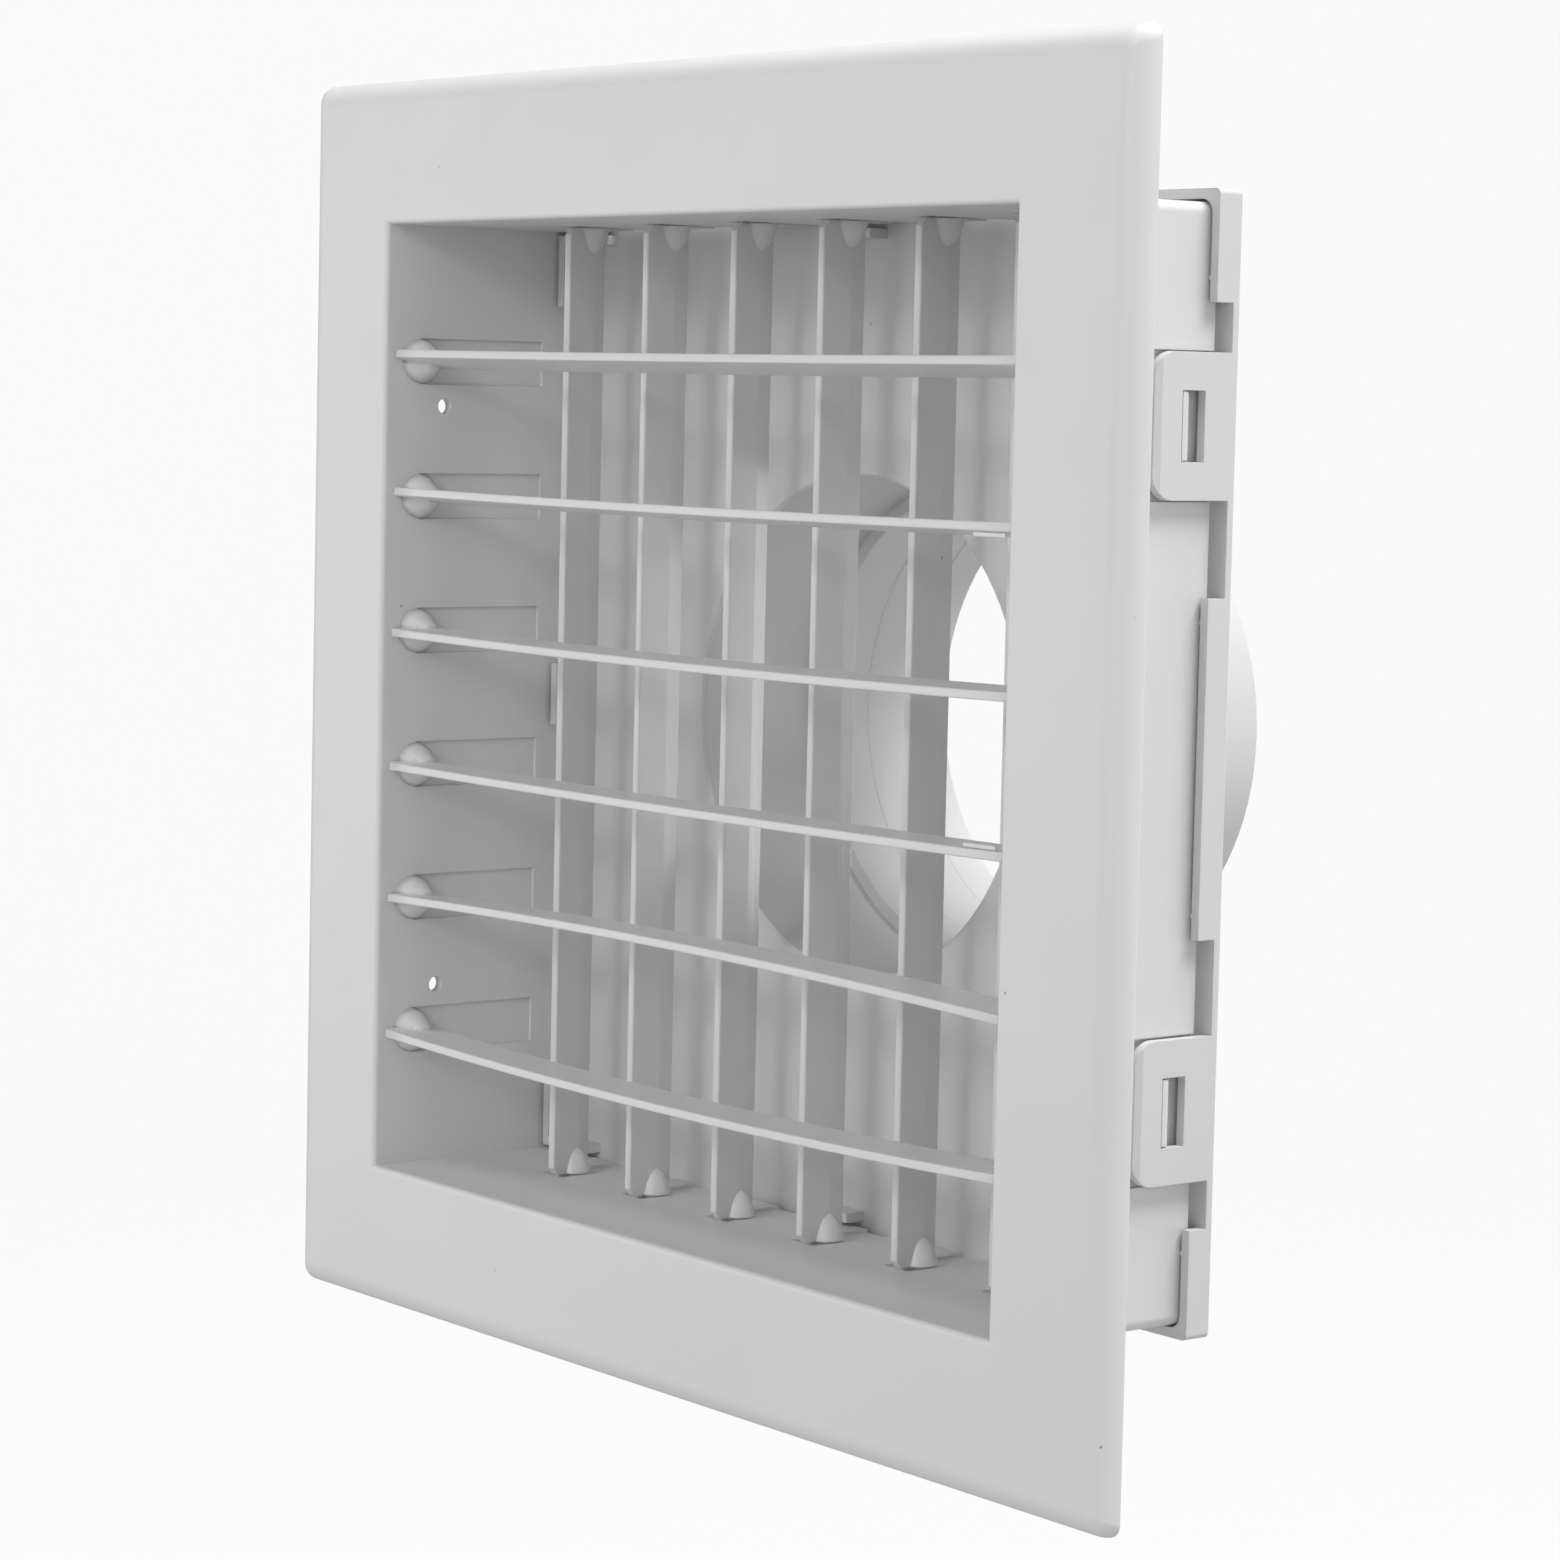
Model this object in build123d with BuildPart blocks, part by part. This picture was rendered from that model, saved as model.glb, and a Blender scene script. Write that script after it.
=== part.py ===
from build123d import *
import os

# Square vent grille with two crossed rows of turning blades and a clip-on back plate for a
# round duct. All sizes are in millimetres. X runs to the right of the face, Y into the wall
# and Z up. The origin is the centre of the opening in the wall plane, where the rim of the
# flange meets the wall, so the face stands in front of it at negative Y.

# Flange and neck, one moulding
FACE_SIZE = 195.0       # outer side of the square flange
FACE_DEPTH = 4.0        # wall plane to front face
FACE_WALL = 2.0         # thickness of the flange sheet and of its rim
FACE_CORNER = 2.0       # outer corners of the flange
RIM_LAND = 0.3          # straight stretch of the rolled edge at the wall
OPENING = 150.0         # clear side of the square neck
LIP_ROUND = 0.8         # soft front edge of the opening
NECK_WALL = 1.7
NECK_CORNER = 1.6       # outer corners of the neck
NECK_LENGTH = 30.6      # wall plane to the rear edge of the neck

# Blades, with stouter bosses in the front row than in the rear row
BLADES = 6              # in each row
FRONT_PIVOT = 2.9       # depth of the front row's pins
REAR_PIVOT = 20.4       # depth of the rear row's pins
FRONT_SET = (12.0, 8.0, -2.0, -0.5, 0.5, -0.5)   # degrees each nose is set up, top blade first
REAR_SET = (13.0, 5.0, 9.5, 4.0, 7.5, 6.0)       # degrees each nose is set to the right, left blade first
BLADE_LEAD = 5.7        # pin axis to nose
BLADE_TAIL = 2.9        # pin axis to trailing edge
BLADE_THICK = 1.3       # at the nose
TAIL_THICK = 1.1        # at the trailing edge
NOSE_ROUND = 0.3
NOSE_CUT = 1.2          # cut corners at the two ends of the nose
END_GAP = 0.12          # blade end to neck wall
FRONT_BOSS_R = 3.5      # base of the front row's cone bosses
FRONT_BOSS_TIP_R = 1.2
FRONT_BOSS_LENGTH = 4.4
REAR_BOSS_R = 2.7       # base of the rear row's cone bosses
REAR_BOSS_TIP_R = 0.7
REAR_BOSS_LENGTH = 3.8
PIN_R = 1.5
PIN_PLAY = 0.05         # running clearance round a pin
PIN_SETBACK = 0.2       # pin end to the outside of the neck

# Grooves in the neck walls, along which the blades are pushed in from behind
GROOVE_DEPTH = 0.5
GROOVE_AHEAD = 4.5      # a rear row groove starts this far in front of its pin
GROOVE_PLAY = 0.1       # groove side to boss
GROOVE_STOP = 4.2       # end of a front row groove to the rear edge of the neck

# Screw holes in the side walls
SCREW_R = 1.25
SCREW_DEPTH = 7.5       # wall plane to hole
SCREW_SPREAD = 93.0     # upper hole to lower hole

# Back plate, skirts and lugs of the adapter
PLATE = 1.7             # thickness of the back plate
PLATE_GAP = 1.6         # neck edge to back plate
PLATE_EDGE = 0.6        # broken rear edge of the plate
PLATE_CORNER = 0.8      # outer corners of the plate and skirts
SKIRT = 1.4             # thickness of skirts and clips
SKIRT_GAP = 0.4         # neck to skirt
SKIRT_LAP = 1.5         # how far the skirts reach over the neck
CORNER_SKIRT = 15.3     # length of each leg of a corner skirt
MIDDLE_SKIRT = 46.6
RIB_R = 0.35            # crush ribs inside the skirts
RIB_INSET = 3.3         # crush rib to the end of its skirt
LUG = 1.5               # thickness of the inner locating lugs
LUG_GAP = 0.6           # neck to lug
LUG_LAP = 1.8           # how far the lugs reach into the neck
CORNER_LUG = 11.5
MIDDLE_LUG = 10.0

# Clips of the adapter and the catches of the neck
CLIP_SPREAD = 93.0      # centre of the upper clip to centre of the lower clip
CLIP_WIDTH = 20.0
CLIP_REACH = 13.7       # back plate to the front end of a clip
CLIP_CORNER = 3.4
CLIP_LEAD = 1.1         # length of the bevel at the front end of a clip
CLIP_BEVEL = 0.4        # how much that bevel thins the end
WINDOW_WIDTH = 9.6
WINDOW_LENGTH = 4.2
CLIP_BAR = 4.8          # front end of a clip to its window
POCKET_DEPTH = 0.5
POCKET_PLAY = 0.15      # clip to the sides of its pocket
CATCH_PLAY = 0.2        # window to catch
CATCH_SUNK = 0.1        # catch top to the outside of the clip
CATCH_TOP = 0.8         # flat top of the catch
CATCH_SHOULDER = 0.6    # gentle slope behind that top
CATCH_DROP = 0.4        # how far that slope falls
CATCH_RAMP = 0.6        # steep back of the catch

# Round spigot
SPIGOT_R = 37.5         # outside of the duct end
SPIGOT_WALL = 2.0
SPIGOT_END = 80.2       # wall plane to the end of the spigot
SPIGOT_LEAD = 0.5       # chamfer that leads the duct on
STEP_DEPTH = 55.0       # wall plane to the inner ledge of the spigot
STEP_WIDTH = 2.1        # width of that ledge
MOUTH_EDGE = 0.5        # broken edge where the spigot opens into the neck

# Sizes that follow
HALF_OPENING = OPENING / 2
PITCH = OPENING / (BLADES + 1)
ROW = [PITCH * (i - (BLADES - 1) / 2) for i in range(BLADES)]
EDGE_ROUND = FACE_DEPTH - RIM_LAND
NECK_OUT = HALF_OPENING + NECK_WALL
BLADE_LENGTH = OPENING - 2 * END_GAP
PIN_LENGTH = END_GAP + NECK_WALL - PIN_SETBACK
PIN_HOLE_R = PIN_R + PIN_PLAY
PLATE_FRONT = NECK_LENGTH + PLATE_GAP
PLATE_BACK = PLATE_FRONT + PLATE
SKIRT_IN = NECK_OUT + SKIRT_GAP
SKIRT_OUT = SKIRT_IN + SKIRT
SKIRT_CORNER = NECK_CORNER + SKIRT_GAP
CLIP_FRONT = PLATE_FRONT - CLIP_REACH
WINDOW_FRONT = CLIP_FRONT + CLIP_BAR
POCKET_FLOOR = NECK_OUT - POCKET_DEPTH
BORE_R = SPIGOT_R - SPIGOT_WALL
MOUTH_R = BORE_R + STEP_WIDTH

# The wall plane seen from the room. Its normal points out of the wall.
WALL = Plane.XZ


def at_depth(depth):
    return WALL.offset(-depth)


def grooves(start, end, width):
    """Grooves of one row in a plane across its pins, from one depth to another."""
    with Locations(*[((start + end) / 2, place) for place in ROW]):
        Rectangle(end - start, width)


# Planes across the two rows of pins, with local X into the wall. Left to right for the front
# row's pins, which lie along X, and top to bottom for the rear row's pins, which lie along Z.
FRONT_ROW = Plane(origin=(0, 0, 0), x_dir=(0, 1, 0), z_dir=(1, 0, 0))
REAR_ROW = Plane(origin=(0, 0, 0), x_dir=(0, 1, 0), z_dir=(0, 0, -1))

# Face frame: rolled square flange, hollow behind, with the neck in the same moulding
with BuildPart() as face_frame:
    with BuildSketch(WALL):
        RectangleRounded(FACE_SIZE, FACE_SIZE, FACE_CORNER)
    extrude(amount=FACE_DEPTH)
    fillet(face_frame.faces().sort_by(Axis.Y)[0].edges(), EDGE_ROUND)
    with BuildSketch(WALL):
        Rectangle(FACE_SIZE - 2 * FACE_WALL, FACE_SIZE - 2 * FACE_WALL)
    extrude(amount=FACE_DEPTH - FACE_WALL, mode=Mode.SUBTRACT)
    with BuildSketch(at_depth(NECK_LENGTH)):
        RectangleRounded(2 * NECK_OUT, 2 * NECK_OUT, NECK_CORNER)
    extrude(amount=NECK_LENGTH + FACE_DEPTH - FACE_WALL)
    with BuildSketch(at_depth(NECK_LENGTH)):
        Rectangle(OPENING, OPENING)
    extrude(amount=NECK_LENGTH + FACE_DEPTH, mode=Mode.SUBTRACT)
    fillet(face_frame.faces().sort_by(Axis.Y)[0].inner_wires().edges(), LIP_ROUND)

    # Grooves and pin holes of both rows, each cut through opposite walls at once
    for plane, pivot, start, end, boss_r in (
        (FRONT_ROW, FRONT_PIVOT, FRONT_PIVOT, NECK_LENGTH - GROOVE_STOP, FRONT_BOSS_R),
        (REAR_ROW, REAR_PIVOT, REAR_PIVOT - GROOVE_AHEAD, NECK_LENGTH, REAR_BOSS_R),
    ):
        with BuildSketch(plane):
            grooves(start, end, 2 * (boss_r + GROOVE_PLAY))
        extrude(amount=HALF_OPENING + GROOVE_DEPTH, both=True, mode=Mode.SUBTRACT)
        with BuildSketch(plane):
            with Locations(*[(pivot, place) for place in ROW]):
                Circle(PIN_HOLE_R)
        extrude(amount=NECK_OUT, both=True, mode=Mode.SUBTRACT)

    # Screw holes through the two side walls
    with BuildSketch(FRONT_ROW):
        with Locations((SCREW_DEPTH, SCREW_SPREAD / 2), (SCREW_DEPTH, -SCREW_SPREAD / 2)):
            Circle(SCREW_R)
    extrude(amount=NECK_OUT, both=True, mode=Mode.SUBTRACT)

    # Pocket and wedge catch for each clip
    for side in (-1, 1):
        with BuildSketch(FRONT_ROW.offset(side * NECK_OUT)):
            pocket_front = CLIP_FRONT - POCKET_PLAY
            pocket_run = NECK_LENGTH - pocket_front
            for height in (-CLIP_SPREAD / 2, CLIP_SPREAD / 2):
                with Locations((pocket_front + pocket_run / 2, height)):
                    Rectangle(pocket_run, CLIP_WIDTH + 2 * POCKET_PLAY)
        extrude(amount=-side * POCKET_DEPTH, mode=Mode.SUBTRACT)
        for height in (-CLIP_SPREAD / 2, CLIP_SPREAD / 2):
            catch_front = WINDOW_FRONT + CATCH_PLAY
            catch_out = SKIRT_OUT - CATCH_SUNK
            shoulder = catch_front + CATCH_TOP + CATCH_SHOULDER
            with BuildSketch(Plane.XY.offset(height)):
                with BuildLine():
                    Polyline(
                        (side * POCKET_FLOOR, catch_front),
                        (side * catch_out, catch_front),
                        (side * catch_out, catch_front + CATCH_TOP),
                        (side * (catch_out - CATCH_DROP), shoulder),
                        (side * POCKET_FLOOR, shoulder + CATCH_RAMP),
                        close=True,
                    )
                make_face()
            extrude(amount=WINDOW_WIDTH / 2 - CATCH_PLAY, both=True)
face_frame.part.label = "face_frame"


def blade(label, pins, boss_r, boss_tip_r, boss_length):
    """One blade about the pin axis, which is the normal of the plane pins. Its local X is the nose."""
    with BuildPart() as piece:
        with BuildSketch(pins) as section:
            with BuildLine():
                Polyline(
                    (BLADE_LEAD, -BLADE_THICK / 2),
                    (BLADE_LEAD, BLADE_THICK / 2),
                    (-BLADE_TAIL, TAIL_THICK / 2),
                    (-BLADE_TAIL, -TAIL_THICK / 2),
                    close=True,
                )
            make_face()
            fillet(section.vertices().group_by(Axis.X)[-1], NOSE_ROUND)
        extrude(amount=BLADE_LENGTH / 2, both=True)
        with BuildSketch(Plane(origin=pins.origin, x_dir=pins.x_dir, z_dir=pins.y_dir)):
            for end in (-1, 1):
                with BuildLine():
                    Polyline(
                        (BLADE_LEAD, end * BLADE_LENGTH / 2),
                        (BLADE_LEAD - NOSE_CUT, end * BLADE_LENGTH / 2),
                        (BLADE_LEAD, end * (BLADE_LENGTH / 2 - NOSE_CUT)),
                        close=True,
                    )
                make_face()
        extrude(amount=BLADE_THICK, both=True, mode=Mode.SUBTRACT)
        for end in (-1, 1):
            tip = Plane(
                origin=pins.origin + pins.z_dir * (end * BLADE_LENGTH / 2),
                x_dir=pins.x_dir,
                z_dir=pins.z_dir * -end,
            )
            with Locations(tip):
                Cone(boss_r, boss_tip_r, boss_length, align=(Align.CENTER, Align.CENTER, Align.MIN))
                Cylinder(PIN_R, PIN_LENGTH, align=(Align.CENTER, Align.CENTER, Align.MAX))
    piece.part.label = label
    return piece.part


# Front row from the top down, rear row from left to right. Every nose points to the room, turned
# by as much as that blade is set.
TO_ROOM = Vector(0, -1, 0)
blades = []
for number, (place, set_up) in enumerate(zip(reversed(ROW), FRONT_SET), start=1):
    nose = TO_ROOM.rotate(Axis.X, -set_up)
    pins = Plane(origin=(0, FRONT_PIVOT, place), x_dir=nose, z_dir=(1, 0, 0))
    label = f"front_blade_{number}"
    blades.append(blade(label, pins, FRONT_BOSS_R, FRONT_BOSS_TIP_R, FRONT_BOSS_LENGTH))
for number, (place, set_right) in enumerate(zip(ROW, REAR_SET), start=1):
    nose = TO_ROOM.rotate(Axis.Z, set_right)
    pins = Plane(origin=(place, REAR_PIVOT, 0), x_dir=nose, z_dir=(0, 0, 1))
    label = f"rear_blade_{number}"
    blades.append(blade(label, pins, REAR_BOSS_R, REAR_BOSS_TIP_R, REAR_BOSS_LENGTH))


def broken_ring(outer, inner, corner_leg, middle, outer_corner, inner_corner):
    """Square ring cut into four corner angles and four middle pieces."""
    if outer_corner > 0:
        RectangleRounded(2 * outer, 2 * outer, outer_corner)
        RectangleRounded(2 * inner, 2 * inner, inner_corner, mode=Mode.SUBTRACT)
    else:
        Rectangle(2 * outer, 2 * outer)
        Rectangle(2 * inner, 2 * inner, mode=Mode.SUBTRACT)
    gap = outer - corner_leg - middle / 2
    place = middle / 2 + gap / 2
    with Locations((place, 0), (-place, 0)):
        Rectangle(gap, 2 * outer, mode=Mode.SUBTRACT)
    with Locations((0, place), (0, -place)):
        Rectangle(2 * outer, gap, mode=Mode.SUBTRACT)


# Duct adapter: back plate, skirts outside the neck, lugs inside it, clips and spigot
with BuildPart() as duct_adapter:
    with BuildSketch(at_depth(PLATE_BACK)):
        RectangleRounded(2 * SKIRT_OUT, 2 * SKIRT_OUT, PLATE_CORNER)
    extrude(amount=PLATE)
    chamfer(duct_adapter.faces().sort_by(Axis.Y)[-1].edges(), PLATE_EDGE)

    # Skirts with their crush ribs
    with BuildSketch(at_depth(PLATE_FRONT)):
        broken_ring(SKIRT_OUT, SKIRT_IN, CORNER_SKIRT, MIDDLE_SKIRT, PLATE_CORNER, SKIRT_CORNER)
        rib_places = (MIDDLE_SKIRT / 2 - RIB_INSET, SKIRT_OUT - CORNER_SKIRT + RIB_INSET)
        for along in rib_places:
            for side in (-1, 1):
                with Locations((SKIRT_IN, side * along), (-SKIRT_IN, side * along)):
                    Circle(RIB_R)
                with Locations((side * along, SKIRT_IN), (side * along, -SKIRT_IN)):
                    Circle(RIB_R)
    extrude(amount=PLATE_GAP + SKIRT_LAP)

    # Locating lugs inside the neck
    with BuildSketch(at_depth(PLATE_FRONT)):
        lug_out = HALF_OPENING - LUG_GAP
        broken_ring(lug_out, lug_out - LUG, CORNER_LUG, MIDDLE_LUG, 0, 0)
    extrude(amount=PLATE_GAP + LUG_LAP)

    # Two windowed clips on each side
    for side in (-1, 1):
        with BuildSketch(FRONT_ROW.offset(side * SKIRT_IN)) as clips:
            for height in (-CLIP_SPREAD / 2, CLIP_SPREAD / 2):
                with Locations((CLIP_FRONT + CLIP_REACH / 2, height)):
                    Rectangle(CLIP_REACH, CLIP_WIDTH)
            fillet(clips.vertices().group_by(Axis.X)[0], CLIP_CORNER)
            for height in (-CLIP_SPREAD / 2, CLIP_SPREAD / 2):
                with Locations((WINDOW_FRONT + WINDOW_LENGTH / 2, height)):
                    Rectangle(WINDOW_LENGTH, WINDOW_WIDTH, mode=Mode.SUBTRACT)
        extrude(amount=side * SKIRT)
        with BuildSketch(Plane.XY):
            with BuildLine():
                Polyline(
                    (side * SKIRT_OUT, CLIP_FRONT),
                    (side * SKIRT_OUT, CLIP_FRONT + CLIP_LEAD),
                    (side * (SKIRT_OUT - CLIP_BEVEL), CLIP_FRONT),
                    close=True,
                )
            make_face()
        extrude(amount=SKIRT_OUT, both=True, mode=Mode.SUBTRACT)

    # Stepped spigot, turned about the duct axis, through a hole of its own in the plate
    with BuildSketch(at_depth(PLATE_BACK)):
        Circle(MOUTH_R + SPIGOT_WALL)
    extrude(amount=PLATE, mode=Mode.SUBTRACT)
    with BuildSketch(Plane.XY):
        with BuildLine():
            Polyline(
                (MOUTH_R + MOUTH_EDGE, PLATE_FRONT),
                (MOUTH_R + SPIGOT_WALL, PLATE_FRONT),
                (MOUTH_R + SPIGOT_WALL, STEP_DEPTH + SPIGOT_WALL),
                (SPIGOT_R, STEP_DEPTH + SPIGOT_WALL),
                (SPIGOT_R, SPIGOT_END - SPIGOT_LEAD),
                (SPIGOT_R - SPIGOT_LEAD, SPIGOT_END),
                (BORE_R, SPIGOT_END),
                (BORE_R, STEP_DEPTH),
                (MOUTH_R, STEP_DEPTH),
                (MOUTH_R, PLATE_FRONT + MOUTH_EDGE),
                close=True,
            )
        make_face()
    revolve(axis=Axis.Y)
duct_adapter.part.label = "duct_adapter"

os.makedirs("parts", exist_ok=True)
for piece in [face_frame.part, duct_adapter.part] + blades:
    export_step(piece, f"parts/{piece.label}.step")
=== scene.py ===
import math

import bmesh
import bpy
from mathutils import Matrix, Vector


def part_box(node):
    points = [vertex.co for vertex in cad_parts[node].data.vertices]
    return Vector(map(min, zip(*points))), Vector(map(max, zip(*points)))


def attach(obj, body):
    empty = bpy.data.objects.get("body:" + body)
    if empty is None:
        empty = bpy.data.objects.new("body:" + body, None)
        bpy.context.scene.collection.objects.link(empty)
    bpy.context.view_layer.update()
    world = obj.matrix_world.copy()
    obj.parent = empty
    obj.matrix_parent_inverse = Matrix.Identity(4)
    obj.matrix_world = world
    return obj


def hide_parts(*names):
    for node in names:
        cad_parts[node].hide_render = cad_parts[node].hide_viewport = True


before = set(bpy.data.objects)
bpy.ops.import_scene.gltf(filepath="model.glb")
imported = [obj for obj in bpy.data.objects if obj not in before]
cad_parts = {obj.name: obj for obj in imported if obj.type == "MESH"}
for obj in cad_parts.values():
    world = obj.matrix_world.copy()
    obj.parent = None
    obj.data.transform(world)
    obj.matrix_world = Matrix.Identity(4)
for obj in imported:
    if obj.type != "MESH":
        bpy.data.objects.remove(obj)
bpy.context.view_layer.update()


# Face frame. A square flange with a rolled edge and the deep neck behind it, moulded in one shot
# from white plastic. The tool was lightly blasted, so the skin is satin, with faint flow marks.

MM = 0.001
SATIN_WHITE = (0.70, 0.70, 0.70)
PLASTIC_IOR = 1.5
EDGE_RADIUS = 0.2 * MM
EDGE_SAMPLES = 6
GRAIN_DEPTH = 0.1 * MM
GRAIN_STRENGTH = 0.05
# Noise scales are in lumps per metre, each with its number of finer octaves
CLOUD = (28.0, 3.0)
SMEAR = (90.0, 4.0)
GRAIN = (1800.0, 2.0)
# Specks: cells per metre, where a speck ends and where clean plastic starts in cells, and its tone
SPECK_SCALE = 65.0
SPECK_EDGE = (0.011, 0.018)
SPECK_TONE = 0.5


def wire(tree, source, output, target, socket):
    """Joins an output of one node to an input of another."""
    tree.links.new(source.outputs[output], target.inputs[socket])


def noise(group, place, scale, detail):
    """Noise texture in the object's own coordinates."""
    texture = group.nodes.new("ShaderNodeTexNoise")
    texture.inputs["Scale"].default_value = scale
    texture.inputs["Detail"].default_value = detail
    wire(group, place, "Object", texture, "Vector")
    return texture


def swing(group, texture):
    """Spreads a noise texture from minus one to one."""
    spread = group.nodes.new("ShaderNodeMapRange")
    spread.inputs["To Min"].default_value = -1.0
    wire(group, texture, "Fac", spread, "Value")
    return spread


def arithmetic(group, operation):
    """Math node of one kind."""
    node = group.nodes.new("ShaderNodeMath")
    node.operation = operation
    return node


def moulded_skin():
    """Node group for a satin moulding's skin: colour drift, specks, uneven gloss and a fine grain."""
    group = bpy.data.node_groups.new("moulded_skin", "ShaderNodeTree")
    face = group.interface
    face.new_socket("Tone", in_out="INPUT", socket_type="NodeSocketColor")
    for name, value in (("Drift", 0.03), ("Gloss", 0.42), ("Gloss Spread", 0.10)):
        socket = face.new_socket(name, in_out="INPUT", socket_type="NodeSocketFloat")
        socket.default_value = value
    face.new_socket("Color", in_out="OUTPUT", socket_type="NodeSocketColor")
    face.new_socket("Roughness", in_out="OUTPUT", socket_type="NodeSocketFloat")
    face.new_socket("Height", in_out="OUTPUT", socket_type="NodeSocketFloat")
    start = group.nodes.new("NodeGroupInput")
    end = group.nodes.new("NodeGroupOutput")
    place = group.nodes.new("ShaderNodeTexCoord")

    # Slow drift of the colour, over some centimetres
    share = arithmetic(group, "MULTIPLY")
    wire(group, swing(group, noise(group, place, *CLOUD)), "Result", share, 0)
    wire(group, start, "Drift", share, 1)
    lift = arithmetic(group, "ADD")
    lift.inputs[1].default_value = 1.0
    wire(group, share, "Value", lift, 0)

    # A few dark specks from burnt grains of the plastic, half a millimetre wide at most
    speck = group.nodes.new("ShaderNodeTexVoronoi")
    speck.inputs["Scale"].default_value = SPECK_SCALE
    wire(group, place, "Object", speck, "Vector")
    clean = group.nodes.new("ShaderNodeMapRange")
    clean.inputs["From Min"].default_value = SPECK_EDGE[0]
    clean.inputs["From Max"].default_value = SPECK_EDGE[1]
    clean.inputs["To Min"].default_value = SPECK_TONE
    wire(group, speck, "Distance", clean, "Value")
    shade = arithmetic(group, "MULTIPLY")
    wire(group, lift, "Value", shade, 0)
    wire(group, clean, "Result", shade, 1)
    tint = group.nodes.new("ShaderNodeHueSaturation")
    wire(group, start, "Tone", tint, "Color")
    wire(group, shade, "Value", tint, "Value")
    wire(group, tint, "Color", end, "Color")

    # Gloss that differs a little from place to place, as handled plastic does
    uneven = arithmetic(group, "MULTIPLY_ADD")
    wire(group, swing(group, noise(group, place, *SMEAR)), "Result", uneven, 0)
    wire(group, start, "Gloss Spread", uneven, 1)
    wire(group, start, "Gloss", uneven, 2)
    wire(group, uneven, "Value", end, "Roughness")

    # Fine grain of the blasted tool
    wire(group, noise(group, place, *GRAIN), "Fac", end, "Height")
    return group


SKIN = moulded_skin()


def plastic(name, tone, gloss):
    """Satin white moulding with the skin group, a soft edge and a fine grain."""
    material = bpy.data.materials.new(name)
    material.use_nodes = True
    tree = material.node_tree
    shader = tree.nodes["Principled BSDF"]
    shader.inputs["IOR"].default_value = PLASTIC_IOR
    skin = tree.nodes.new("ShaderNodeGroup")
    skin.node_tree = SKIN
    skin.inputs["Tone"].default_value = (*tone, 1.0)
    skin.inputs["Gloss"].default_value = gloss
    soft = tree.nodes.new("ShaderNodeBevel")
    soft.samples = EDGE_SAMPLES
    soft.inputs["Radius"].default_value = EDGE_RADIUS
    bump = tree.nodes.new("ShaderNodeBump")
    bump.inputs["Strength"].default_value = GRAIN_STRENGTH
    bump.inputs["Distance"].default_value = GRAIN_DEPTH
    wire(tree, skin, "Color", shader, "Base Color")
    wire(tree, skin, "Roughness", shader, "Roughness")
    wire(tree, skin, "Height", bump, "Height")
    wire(tree, soft, "Normal", bump, "Normal")
    wire(tree, bump, "Normal", shader, "Normal")
    return material


def finish_node(name, material):
    """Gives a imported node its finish."""
    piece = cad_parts[name]
    piece.data.materials.clear()
    piece.data.materials.append(material)


FACE_SKIN = plastic("face_skin", SATIN_WHITE, gloss=0.42)
finish_node("face_frame", FACE_SKIN)


# Front row. Six level blades, each moulded with a cone boss and a pivot pin at both ends and
# sprung into the neck from behind. Long and thin, they have bowed and twisted a little since. They
# are somewhat glossier than the frame.

BLADE_SKIN = plastic("blade_skin", SATIN_WHITE, gloss=0.36)
BLADE_STRIPS = 16
# The bow ends here, just short of the pins
BLADE_END = 74.5 * MM
SHARP_CORNER = math.radians(35)
# Corners closer than MERGE are made one, a cut takes corners within CUT_PLAY as lying on its plane,
# and corners within PIN_END of a blade's outermost end are the end of its pin
MERGE = 0.002 * MM
CUT_PLAY = 0.001 * MM
PIN_END = 0.01 * MM
# From the top blade down: how far its middle bows up in mm, and how far its left and right ends are
# twisted nose up, in degrees
FRONT_WARP = (
    (-0.2, 0.0, 0.0),
    (-0.35, 0.8, -0.8),
    (-0.6, 0.5, -0.5),
    (-0.4, 0.5, 0.5),
    (1.3, 3.0, -3.5),
    (-1.5, 0.5, -0.5),
)
# Slivers of flash left on the nose near the right end, by blade: from and to along the blade, and
# how far above the nose's middle, all in mm. The nose is whole up to NOSE_WHOLE either side.
FLASH = {
    2: (66.5, 73.0, -0.75),
    3: (68.0, 73.4, -0.70),
    4: (66.0, 72.6, 0.75),
}
FLASH_THICK = 0.12 * MM
FLASH_WIDE = 0.55 * MM
NOSE_WHOLE = 60 * MM


def blade_copy(name):
    """Shape of a packed blade where it stands, with the corners that its faces share made one."""
    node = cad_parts[name]
    blade = bmesh.new()
    blade.from_mesh(node.data)
    blade.transform(node.matrix_world)
    bmesh.ops.remove_doubles(blade, verts=blade.verts[:], dist=MERGE)
    return blade


def pin_middle(blade, name, axis):
    """Middle of the end of the pin that lies farthest along an axis, 0 for X and 2 for Z."""
    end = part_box(name)[1][axis]
    pin_end = [corner.co for corner in blade.verts if corner.co[axis] > end - PIN_END]
    return sum(pin_end, Vector()) / len(pin_end)


def cut_through(blade, place, normal):
    """Cuts all of a blade along a plane."""
    whole = blade.verts[:] + blade.edges[:] + blade.faces[:]
    return bmesh.ops.bisect_plane(blade, geom=whole, dist=CUT_PLAY, plane_co=place, plane_no=normal)


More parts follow.
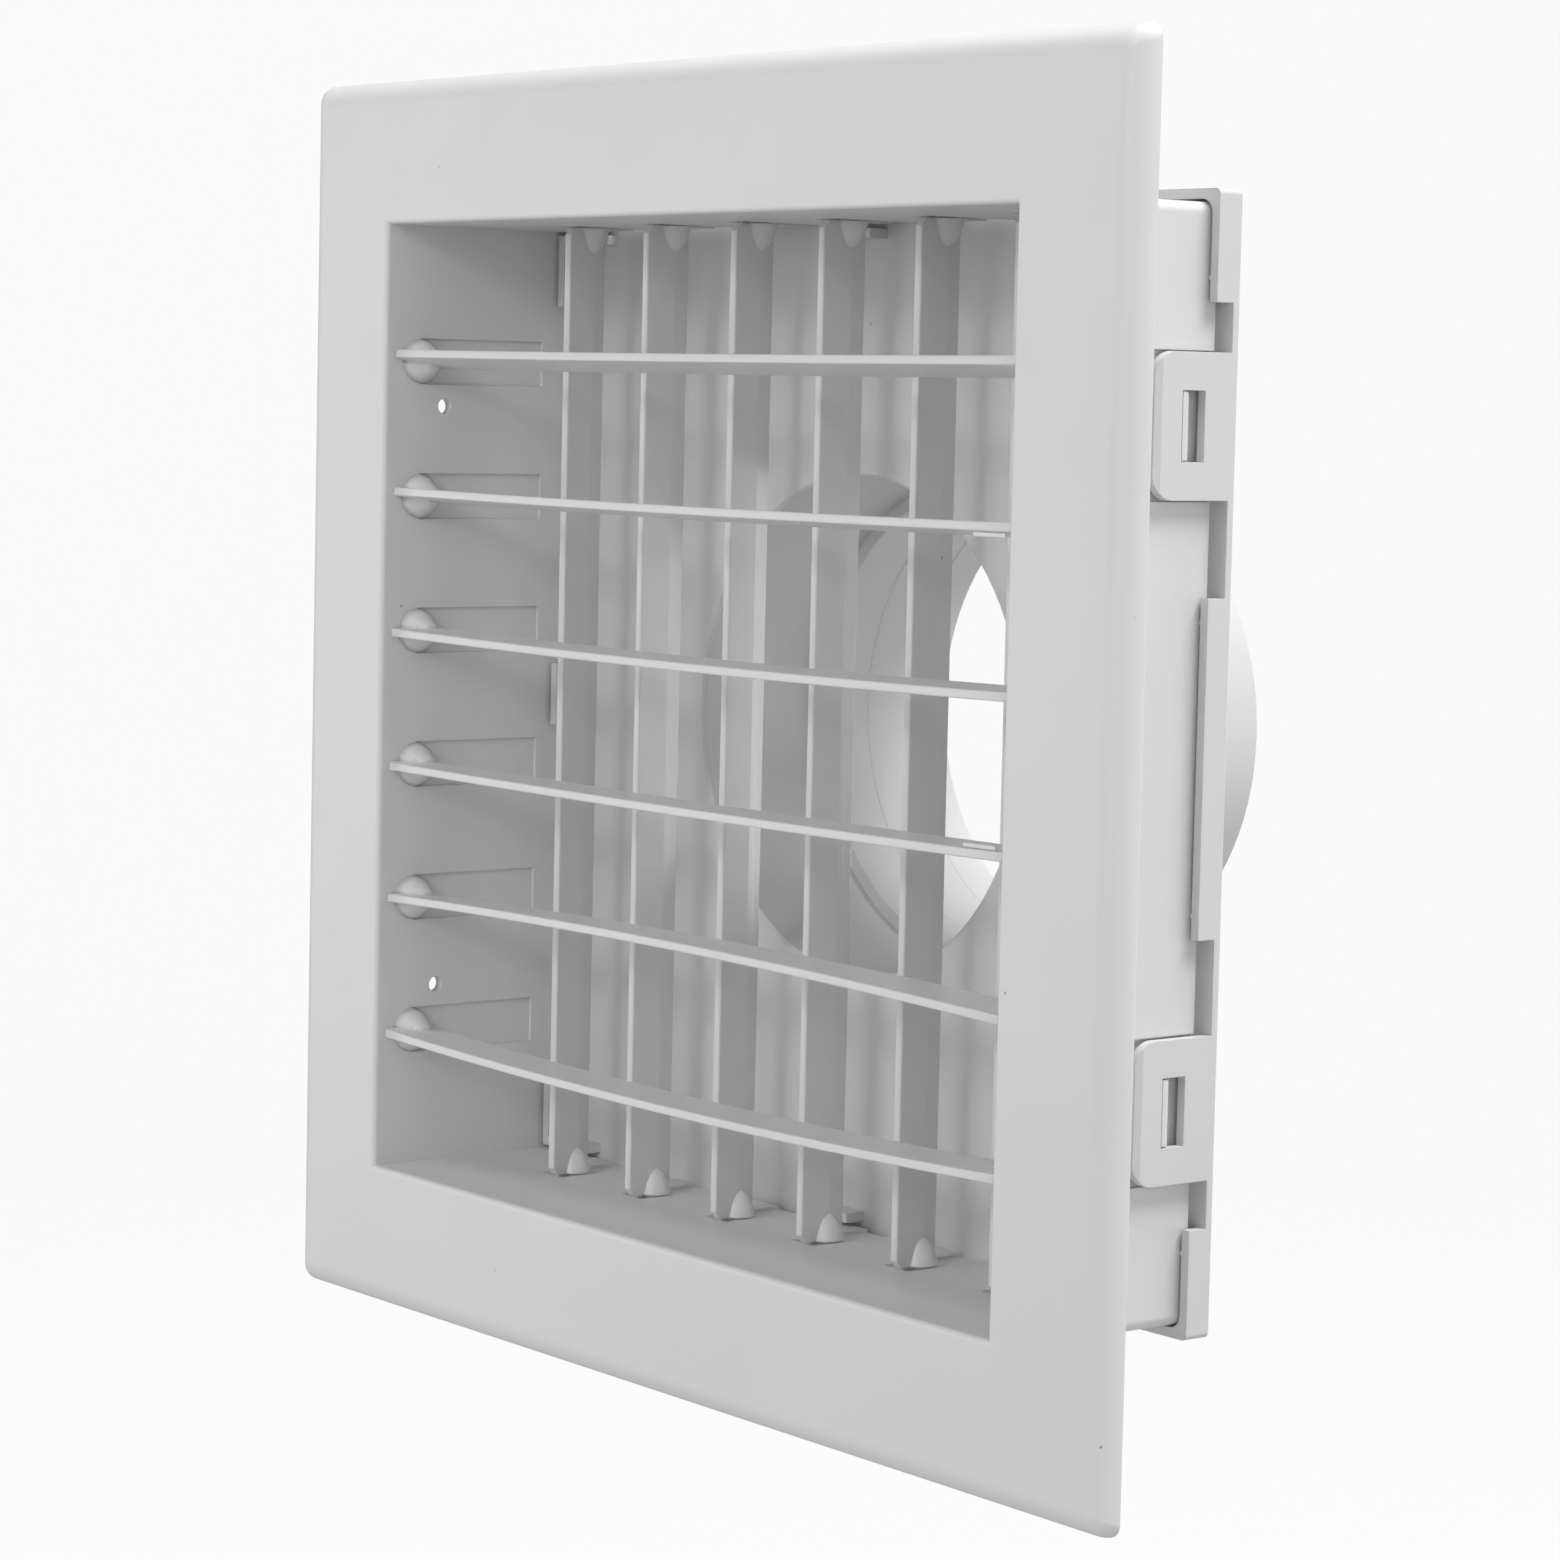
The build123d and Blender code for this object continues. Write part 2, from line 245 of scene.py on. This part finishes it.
def new_piece(name, shape, material):
    """Turns a finished shape into an object of one material."""
    mesh = bpy.data.meshes.new(name)
    shape.to_mesh(mesh)
    shape.free()
    mesh.materials.append(material)
    piece = bpy.data.objects.new(name, mesh)
    bpy.context.scene.collection.objects.link(piece)
    return piece


def smooth_between_corners(piece):
    """Shades a piece smooth, apart from its sharp corners."""
    piece.data.shade_smooth()
    piece.data.set_sharp_from_angle(angle=SHARP_CORNER)


def add_flash(blade, start, stop, above):
    """Sets a sliver of flash against a blade's nose."""
    middle = [corner.co for corner in blade.verts if abs(corner.co.x) < NOSE_WHOLE]
    nose = min(middle, key=lambda co: co.y)
    size = Matrix.Diagonal((stop - start, FLASH_THICK, FLASH_WIDE, 1))
    centre = Matrix.Translation(((start + stop) / 2, nose.y + FLASH_THICK, nose.z + above))
    bmesh.ops.create_cube(blade, size=1, matrix=centre @ size)


def warped_blade(name, bow, twist_left, twist_right, flash):
    """Copy of a packed blade that bows between its pins and twists along its length."""
    blade = blade_copy(name)
    pin_axis = pin_middle(blade, name, axis=0)
    left, right = (Vector(corner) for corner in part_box(name))
    for strip in range(1, BLADE_STRIPS):
        cut_through(blade, left.lerp(right, strip / BLADE_STRIPS), (1, 0, 0))
    if flash:
        add_flash(blade, *(value * MM for value in flash))
    for corner in blade.verts:
        along = max(-1, min(1, corner.co.x / BLADE_END))
        twist = math.radians((twist_left * (1 - along) + twist_right * (1 + along)) / 2)
        pivot = Vector((corner.co.x, pin_axis.y, pin_axis.z))
        turned = Matrix.Rotation(-twist, 3, "X") @ (corner.co - pivot)
        corner.co = pivot + turned + Vector((0, 0, bow * MM * (1 - along ** 2)))
    piece = new_piece(f"warped_{name}", blade, BLADE_SKIN)
    smooth_between_corners(piece)
    return piece


for number, warp in enumerate(FRONT_WARP, start=1):
    piece = warped_blade(f"front_blade_{number}", *warp, flash=FLASH.get(number))
    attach(piece, f"front_vane_{number}")
    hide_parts(f"front_blade_{number}")


# Rear row. Six upright blades behind the front row, moulded the same way with slimmer, rounder bosses.
# Behind the pins they thin out towards the tail, which catches the light from the duct.

ROW_LENGTH = 6
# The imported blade, from its pins to its nose and tail, and half its thickness there
NOSE_REACH = 5.7 * MM
NOSE_HALF = 0.65 * MM
TAIL_REACH = 2.9 * MM
TAIL_HALF = 0.55 * MM
# Share of the thickness that is left at the tail
TAIL_SHARE = 0.4
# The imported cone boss, which starts at the blade's end, and how far it is rounded to a dome
BOSS_START = 74.88 * MM
BOSS_LENGTH = 3.8 * MM
BOSS_BASE = 2.7 * MM
BOSS_TIP = 0.7 * MM
BOSS_ROUND = 0.6
BOSS_SLICES = 6
# How near to a face or to a boss's slope a corner lies on it, the share of a boss's length that is
# its ends, and the share of the longest reach from the pins that is the nose
ON_FACE = 0.03 * MM
ON_BOSS = 0.1 * MM
BOSS_END_SHARE = 0.01
NOSE_SHARE = 0.97
LEVEL = Vector((1, 1, 0))
UPRIGHT = Vector((0, 0, 1))


def boss_at(place):
    """How far in a place is, as a share of the boss's length, and the cone's radius there."""
    depth = (BOSS_START - abs(place.z)) / BOSS_LENGTH
    return depth, BOSS_BASE + (BOSS_TIP - BOSS_BASE) * depth


def on_boss(place, margin):
    """Whether a place, from the middle of the pin axis, lies on the slope of a cone boss."""
    depth, cone = boss_at(place)
    return -margin < depth < 1 + margin and abs(place.xy.length - cone) < ON_BOSS


def slice_bosses(blade, pin_axis):
    """Cuts the slopes of both bosses into rings, and leaves the blade's faces whole."""
    for step in range(1, BOSS_SLICES):
        for end in (-1, 1):
            slopes = [
                face for face in blade.faces
                if all(on_boss(corner.co - pin_axis, BOSS_END_SHARE) for corner in face.verts)
            ]
            edges = dict.fromkeys(edge for face in slopes for edge in face.edges)
            corners = dict.fromkeys(corner for face in slopes for corner in face.verts)
            height = end * (BOSS_START - BOSS_LENGTH * step / BOSS_SLICES)
            bmesh.ops.bisect_plane(
                blade, geom=[*corners, *edges, *slopes], dist=CUT_PLAY,
                plane_co=(0, 0, height), plane_no=UPRIGHT,
            )


def tapered_blade(name):
    """Copy of a packed blade with domed bosses, whose faces close in from the pins to the tail."""
    blade = blade_copy(name)
    pin_axis = pin_middle(blade, name, axis=2) * LEVEL
    reaches = [(corner.co - pin_axis) * LEVEL for corner in blade.verts]
    nose_from = NOSE_SHARE * max(reach.length for reach in reaches)
    ahead = sum((reach for reach in reaches if reach.length > nose_from), Vector()).normalized()
    across = ahead.cross(UPRIGHT)
    crease = cut_through(blade, pin_axis, ahead)["geom_cut"]
    slice_bosses(blade, pin_axis)
    for corner in blade.verts:
        place = corner.co - pin_axis
        front = place.dot(ahead)
        side = place.dot(across)
        back = (NOSE_REACH - front) / (TAIL_REACH + NOSE_REACH)
        half = NOSE_HALF + (TAIL_HALF - NOSE_HALF) * back
        on_face = abs(abs(side) - half) < ON_FACE
        if on_boss(place, -BOSS_END_SHARE):
            depth, cone = boss_at(place)
            dome = BOSS_TIP + (BOSS_BASE - BOSS_TIP) * math.sqrt(1 - depth ** 2)
            radius = cone + (dome - cone) * BOSS_ROUND
            new_front = front * radius / place.xy.length
            new_side = side * radius / place.xy.length
            # Where the slope meets the blade, the corner slides along the blade's face
            if on_face:
                new_front = math.copysign(math.sqrt(radius ** 2 - side ** 2), front)
                new_side = side
            corner.co += ahead * (new_front - front) + across * (new_side - side)
            front = new_front
        if front < 0 and on_face:
            corner.co -= across * side * (1 - TAIL_SHARE) * min(-front / TAIL_REACH, 1)
    for face in blade.faces:
        face.smooth = True
    for edge in blade.edges:
        edge.smooth = edge.calc_face_angle(0) < SHARP_CORNER
    for part in crease:
        if isinstance(part, bmesh.types.BMEdge):
            part.smooth = False
    return new_piece(f"tapered_{name}", blade, BLADE_SKIN)


for number in range(1, ROW_LENGTH + 1):
    piece = tapered_blade(f"rear_blade_{number}")
    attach(piece, f"rear_vane_{number}")
    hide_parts(f"rear_blade_{number}")


# Duct adapter. A flat back plate with skirts, clips and a round spigot, moulded in one piece and
# snapped over the rear edge of the neck.

ADAPTER_WHITE = (0.655, 0.655, 0.655)
ADAPTER_SKIN = plastic("adapter_skin", ADAPTER_WHITE, gloss=0.45)
finish_node("duct_adapter", ADAPTER_SKIN)


# Witness lines. Two fine ridges stand proud inside the spigot, where the parts of the tool's core
# met. They belong to the adapter's moulding and are sunk a little into the wall of the bore.

BORE_RADIUS = 35.5 * MM
WITNESS_AT = (64.0 * MM, 73.7 * MM)
WITNESS_HALF = 0.22 * MM
WITNESS_PROUD = 0.12 * MM
WITNESS_SUNK = 0.05 * MM
WITNESS_STEPS = 128

witness = bmesh.new()
for depth in WITNESS_AT:
    ridge = [witness.verts.new(corner) for corner in (
        (BORE_RADIUS + WITNESS_SUNK, depth - WITNESS_HALF, 0),
        (BORE_RADIUS - WITNESS_PROUD, depth, 0),
        (BORE_RADIUS + WITNESS_SUNK, depth + WITNESS_HALF, 0),
    )]
    profile = [witness.edges.new((ridge[i], ridge[i - 1])) for i in range(len(ridge))]
    bmesh.ops.spin(
        witness, geom=ridge + profile, cent=(0, 0, 0), axis=(0, 1, 0), angle=2 * math.pi,
        steps=WITNESS_STEPS, use_merge=True,
    )
bmesh.ops.recalc_face_normals(witness, faces=witness.faces[:])
witness_lines = new_piece("witness_lines", witness, ADAPTER_SKIN)
smooth_between_corners(witness_lines)
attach(witness_lines, "housing")


# Camera. It looks at the grille from its right, a little above the middle, with a long lens. The
# focal length and the principal point are in pixels of a square picture.

PICTURE_SIDE = 1560.0
FOCAL_PIXELS = 4264.3
PRINCIPAL_X = 778.4
PRINCIPAL_Y = 725.7
SENSOR_WIDTH = 36.0
CAMERA_NEAR = 0.01
CAMERA_PLACE = Vector((494.74, -372.85, 49.37)) * MM
CAMERA_AIM = Vector((22.33, 0.0, 2.81)) * MM
CAMERA_ROLL = math.radians(1.281)

camera_data = bpy.data.cameras.new("camera")
camera_data.sensor_width = SENSOR_WIDTH
camera_data.lens = FOCAL_PIXELS / PICTURE_SIDE * SENSOR_WIDTH
camera_data.shift_x = (PICTURE_SIDE / 2 - PRINCIPAL_X) / PICTURE_SIDE
camera_data.shift_y = (PRINCIPAL_Y - PICTURE_SIDE / 2) / PICTURE_SIDE
camera_data.clip_start = CAMERA_NEAR
camera = bpy.data.objects.new("camera", camera_data)
bpy.context.scene.collection.objects.link(camera)


def facing(place, aim):
    """Stands something at a place so that it looks at a point."""
    return Matrix.Translation(place) @ (aim - place).to_track_quat("-Z", "Y").to_matrix().to_4x4()


camera.matrix_world = facing(CAMERA_PLACE, CAMERA_AIM) @ Matrix.Rotation(CAMERA_ROLL, 4, "Z")
bpy.context.scene.camera = camera


# Studio. A white bowl of paper all round, a tall key light and a small one from the front on the
# right, and soft lights from the other sides, from above, and from behind through the duct.

FLOOR = -0.40
BOWL_RADIUS = 3.0
BOWL_HEIGHT = 2.0
BOWL_BEND = 1.2
BEND_STEPS = 16
BOWL_STEPS = 64
BOWL_MERGE = 0.001
# The paper's own tone, its glow as the camera sees it and as light on the part, and the room's light
PAPER_TONE = (0.08, 0.08, 0.08, 1.0)
PAPER_SEEN = 0.925
PAPER_FILL = 0.45
ROOM_FILL = 0.14
WHITE = (1.0, 1.0, 1.0, 1.0)

bpy.context.scene.view_settings.view_transform = "Standard"

paper = bpy.data.materials.new("paper")
paper.use_nodes = True
paper_shader = paper.node_tree.nodes["Principled BSDF"]
paper_shader.inputs["Base Color"].default_value = PAPER_TONE
paper_shader.inputs["Roughness"].default_value = 1.0
paper_shader.inputs["Specular IOR Level"].default_value = 0.0
paper_shader.inputs["Emission Color"].default_value = WHITE
glow = paper.node_tree.nodes.new("ShaderNodeLightPath")
strength = paper.node_tree.nodes.new("ShaderNodeMapRange")
strength.inputs["To Min"].default_value = PAPER_FILL
strength.inputs["To Max"].default_value = PAPER_SEEN
wire(paper.node_tree, glow, "Is Camera Ray", strength, "Value")
wire(paper.node_tree, strength, "Result", paper_shader, "Emission Strength")

bowl = bmesh.new()
rim = [bowl.verts.new(corner) for corner in (
    (0, 0, FLOOR),
    (BOWL_RADIUS, 0, FLOOR),
    (BOWL_RADIUS, 0, FLOOR + BOWL_HEIGHT),
)]
for pair in zip(rim, rim[1:]):
    bowl.edges.new(pair)
bmesh.ops.bevel(
    bowl, geom=[rim[1]], offset=BOWL_BEND, segments=BEND_STEPS, profile=0.5, affect="VERTICES",
    material=-1,
)
bmesh.ops.spin(
    bowl, geom=bowl.verts[:] + bowl.edges[:], cent=(0, 0, 0), axis=(0, 0, 1),
    angle=2 * math.pi, steps=BOWL_STEPS, use_merge=True,
)
bmesh.ops.remove_doubles(bowl, verts=bowl.verts[:], dist=BOWL_MERGE)
bmesh.ops.recalc_face_normals(bowl, faces=bowl.faces[:])
bmesh.ops.reverse_faces(bowl, faces=bowl.faces[:])
bowl_object = new_piece("bowl", bowl, paper)
bowl_object.data.shade_smooth()

world = bpy.data.worlds.new("room")
bpy.context.scene.world = world
world.use_nodes = True
room = world.node_tree.nodes["Background"]
room.inputs["Color"].default_value = WHITE
room.inputs["Strength"].default_value = ROOM_FILL

# Each light's place, width and height in metres, and its power in watts. All look at the origin.
LIGHTS = {
    "key_light": ((0.38, -1.45, 0.50), 0.45, 1.4, 5.1),
    "spot_light": ((0.61, -1.45, 0.65), 0.25, 0.25, 3.3),
    "brow_light": ((0.05, -0.75, 1.2), 0.8, 0.5, 2.6),
    "front_light": ((1.5, -0.6, 0.3), 0.6, 1.2, 1.6),
    "left_light": ((-0.38, -0.30, 0.0), 0.3, 0.3, 0.36),
    "right_light": ((0.50, 0.32, 0.95), 0.5, 0.5, 12.0),
    "duct_light": ((0.70, 1.5, -0.42), 1.0, 1.0, 7.5),
    "back_light": ((0.12, 1.6, -0.38), 0.7, 0.7, 9.0),
    "top_light": ((0.0, 0.10, 1.2), 0.8, 0.3, 2.8),
}
for name, (place, width, height, power) in LIGHTS.items():
    softbox = bpy.data.lights.new(name, "AREA")
    softbox.shape = "RECTANGLE"
    softbox.size = width
    softbox.size_y = height
    softbox.energy = power
    lamp = bpy.data.objects.new(name, softbox)
    bpy.context.scene.collection.objects.link(lamp)
    lamp.matrix_world = facing(Vector(place), Vector())
    lamp.visible_camera = False
